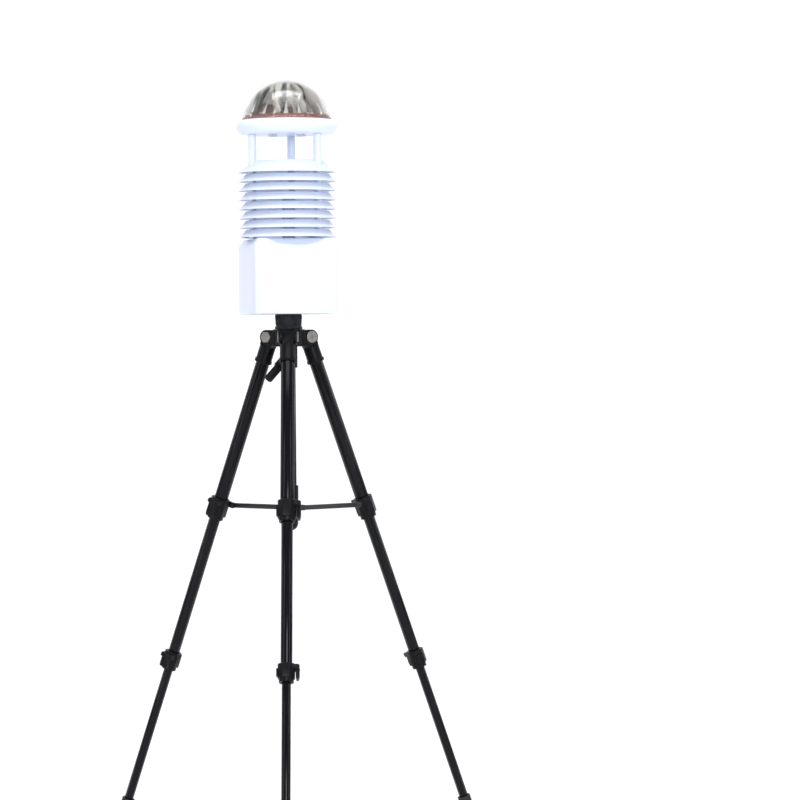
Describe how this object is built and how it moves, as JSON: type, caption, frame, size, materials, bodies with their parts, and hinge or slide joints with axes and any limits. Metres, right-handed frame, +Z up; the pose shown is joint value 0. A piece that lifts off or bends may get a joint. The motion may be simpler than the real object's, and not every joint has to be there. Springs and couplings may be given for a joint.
{
  "type": "tripod weather station",
  "caption": "Compact weather station head with rain dome, ultrasonic wind gap and louvred shield on a light folding tripod with telescopic legs.",
  "frame": {"origin": "on the floor under the centre column's axis", "axes": "+Z up along the column; one leg points to -Y, which is the side the picture shows; +X to the right"},
  "size_m": [0.5384, 0.4698, 1.0872],
  "materials": {
    "white_plastic": "satin white moulding",
    "base_plastic": "matt white",
    "black_plastic": "satin black moulding",
    "adaptor_black": "fine knurl",
    "black_tube": "glossy black anodised",
    "zinc_steel": "zinc plated",
    "brace_metal": "satin black strip",
    "insert_brass": "turned",
    "socket_metal": "plated",
    "green_board": "solder mask",
    "probe_filter": "sintered cap",
    "transducer_face": "satin",
    "red_board": "red-brown solder mask",
    "red_seal": "red-brown silicone",
    "module_black": "gloss",
    "smoky_dome": "clear, slightly smoky",
    "clear_lobe": "clear",
    "foot_rubber": "matt"
  },
  "bodies": {
    "tripod_head": {"crown": "black_plastic", "leg_pivot_bolts": "zinc_steel", "guide_tube": "black_tube", "guide_stop": "black_plastic"},
    "knob": {"lock_knob": "black_plastic"},
    "column": {"centre_column": "black_tube"},
    "station": {"adaptor": "adaptor_black", "housing": "white_plastic", "housing_base": "base_plastic", "base_screws": "zinc_steel", "mount_insert": "insert_brass", "cable_socket": "socket_metal", "control_board": "green_board", "shield_cap": "white_plastic", "shield_plates": "white_plastic", "shield_spacers": "white_plastic", "tie_rods": "zinc_steel", "climate_probe": "probe_filter", "wind_columns": "white_plastic", "top_disc": "white_plastic", "ultrasonic_transducers": "transducer_face", "rain_sensor_board": "red_board", "dome_seal": "red_seal", "infrared_modules": "module_black", "rain_dome": "smoky_dome", "dome_light_pipes": "clear_lobe"},
    "hub": {"brace_hub": "black_plastic"},
    "front_upper_leg": {"front_leg_top": "black_plastic", "front_upper_tube": "black_tube", "front_upper_clamp": "black_plastic"},
    "front_middle_leg": {"front_middle_tube": "black_tube", "front_lower_clamp": "black_plastic"},
    "front_lower_leg": {"front_lower_tube": "black_tube", "front_foot": "foot_rubber"},
    "front_upper_lever_body": {"front_upper_lever": "black_plastic"},
    "front_lower_lever_body": {"front_lower_lever": "black_plastic"},
    "front_brace_body": {"front_brace": "brace_metal", "front_brace_rivets": "zinc_steel"},
    "left_upper_leg": {"left_leg_top": "black_plastic", "left_upper_tube": "black_tube", "left_upper_clamp": "black_plastic"},
    "left_middle_leg": {"left_middle_tube": "black_tube", "left_lower_clamp": "black_plastic"},
    "left_lower_leg": {"left_lower_tube": "black_tube", "left_foot": "foot_rubber"},
    "left_upper_lever_body": {"left_upper_lever": "black_plastic"},
    "left_lower_lever_body": {"left_lower_lever": "black_plastic"},
    "left_brace_body": {"left_brace": "brace_metal", "left_brace_rivets": "zinc_steel"},
    "right_upper_leg": {"right_leg_top": "black_plastic", "right_upper_tube": "black_tube", "right_upper_clamp": "black_plastic"},
    "right_middle_leg": {"right_middle_tube": "black_tube", "right_lower_clamp": "black_plastic"},
    "right_lower_leg": {"right_lower_tube": "black_tube", "right_foot": "foot_rubber"},
    "right_upper_lever_body": {"right_upper_lever": "black_plastic"},
    "right_lower_lever_body": {"right_lower_lever": "black_plastic"},
    "right_brace_body": {"right_brace": "brace_metal", "right_brace_rivets": "zinc_steel"}
  },
  "joints": [
    {"name": "lock_knob_turn", "type": "hinge", "parent": "tripod_head", "child": "knob", "pos_m": [0, 0, 0.685], "axis": [-0.6124, -0.3536, -0.7071], "continuous": true},
    {"name": "column_slide", "type": "slide", "parent": "tripod_head", "child": "column", "axis": [0, 0, 1], "range_m": [0, 0.18]},
    {"name": "station_turn", "type": "hinge", "parent": "column", "child": "station", "pos_m": [0, 0, 0.738], "axis": [0, 0, 1], "continuous": true},
    {"name": "hub_slide", "type": "slide", "parent": "tripod_head", "child": "hub", "axis": [0, 0, 1], "range_m": [0, 0.0848]},
    {"name": "front_leg_fold", "type": "hinge", "parent": "tripod_head", "child": "front_upper_leg", "pos_m": [0, -0.031, 0.712], "axis": [1, 0, 0], "range_deg": [0, 20]},
    {"name": "front_middle_slide", "type": "slide", "parent": "front_upper_leg", "child": "front_middle_leg", "axis": [0, 0.3518, 0.9361], "range_m": [0, 0.2]},
    {"name": "front_lower_slide", "type": "slide", "parent": "front_middle_leg", "child": "front_lower_leg", "axis": [0, 0.3518, 0.9361], "range_m": [0, 0.18]},
    {"name": "front_upper_lever_flip", "type": "hinge", "parent": "front_upper_leg", "child": "front_upper_lever_body", "pos_m": [0.0168, -0.12156, 0.47106], "axis": [0, -0.9361, 0.3518], "range_deg": [0, 110]},
    {"name": "front_lower_lever_flip", "type": "hinge", "parent": "front_middle_leg", "child": "front_lower_lever_body", "pos_m": [0.0156, -0.20759, 0.24219], "axis": [0, -0.9361, 0.3518], "range_deg": [0, 110]},
    {"name": "front_brace_turn", "type": "hinge", "parent": "front_upper_leg", "child": "front_brace_body", "pos_m": [0, -0.1068, 0.46487], "axis": [1, 0, 0], "range_deg": [0, 70.1]},
    {"name": "left_leg_fold", "type": "hinge", "parent": "tripod_head", "child": "left_upper_leg", "pos_m": [-0.02685, 0.0155, 0.712], "axis": [-0.5, -0.866, 0], "range_deg": [0, 20]},
    {"name": "left_middle_slide", "type": "slide", "parent": "left_upper_leg", "child": "left_middle_leg", "axis": [0.3047, -0.1759, 0.9361], "range_m": [0, 0.2]},
    {"name": "left_lower_slide", "type": "slide", "parent": "left_middle_leg", "child": "left_lower_leg", "axis": [0.3047, -0.1759, 0.9361], "range_m": [0, 0.18]},
    {"name": "left_upper_lever_flip", "type": "hinge", "parent": "left_upper_leg", "child": "left_upper_lever_body", "pos_m": [-0.11368, 0.04623, 0.47106], "axis": [-0.8107, 0.468, 0.3518], "range_deg": [0, 110]},
    {"name": "left_lower_lever_flip", "type": "hinge", "parent": "left_middle_leg", "child": "left_lower_lever_body", "pos_m": [-0.18758, 0.09029, 0.24219], "axis": [-0.8107, 0.468, 0.3518], "range_deg": [0, 110]},
    {"name": "left_brace_turn", "type": "hinge", "parent": "left_upper_leg", "child": "left_brace_body", "pos_m": [-0.09249, 0.0534, 0.46487], "axis": [-0.5, -0.866, 0], "range_deg": [0, 70.1]},
    {"name": "right_leg_fold", "type": "hinge", "parent": "tripod_head", "child": "right_upper_leg", "pos_m": [0.02685, 0.0155, 0.712], "axis": [-0.5, 0.866, 0], "range_deg": [0, 20]},
    {"name": "right_middle_slide", "type": "slide", "parent": "right_upper_leg", "child": "right_middle_leg", "axis": [-0.3047, -0.1759, 0.9361], "range_m": [0, 0.2]},
    {"name": "right_lower_slide", "type": "slide", "parent": "right_middle_leg", "child": "right_lower_leg", "axis": [-0.3047, -0.1759, 0.9361], "range_m": [0, 0.18]},
    {"name": "right_upper_lever_flip", "type": "hinge", "parent": "right_upper_leg", "child": "right_upper_lever_body", "pos_m": [0.09688, 0.07533, 0.47106], "axis": [0.8107, 0.468, 0.3518], "range_deg": [0, 110]},
    {"name": "right_lower_lever_flip", "type": "hinge", "parent": "right_middle_leg", "child": "right_lower_lever_body", "pos_m": [0.17198, 0.11731, 0.24219], "axis": [0.8107, 0.468, 0.3518], "range_deg": [0, 110]},
    {"name": "right_brace_turn", "type": "hinge", "parent": "right_upper_leg", "child": "right_brace_body", "pos_m": [0.09249, 0.0534, 0.46487], "axis": [-0.5, 0.866, 0], "range_deg": [0, 70.1]}
  ],
  "couplings": [
    {"joint": "hub_slide", "follows": "front_leg_fold", "m_per_rad": 0.23729},
    {"joint": "front_brace_turn", "follows": "front_leg_fold", "ratio": 3.4802},
    {"joint": "left_leg_fold", "follows": "front_leg_fold", "ratio": 1},
    {"joint": "left_brace_turn", "follows": "front_leg_fold", "ratio": 3.4802},
    {"joint": "right_leg_fold", "follows": "front_leg_fold", "ratio": 1},
    {"joint": "right_brace_turn", "follows": "front_leg_fold", "ratio": 3.4802}
  ]
}
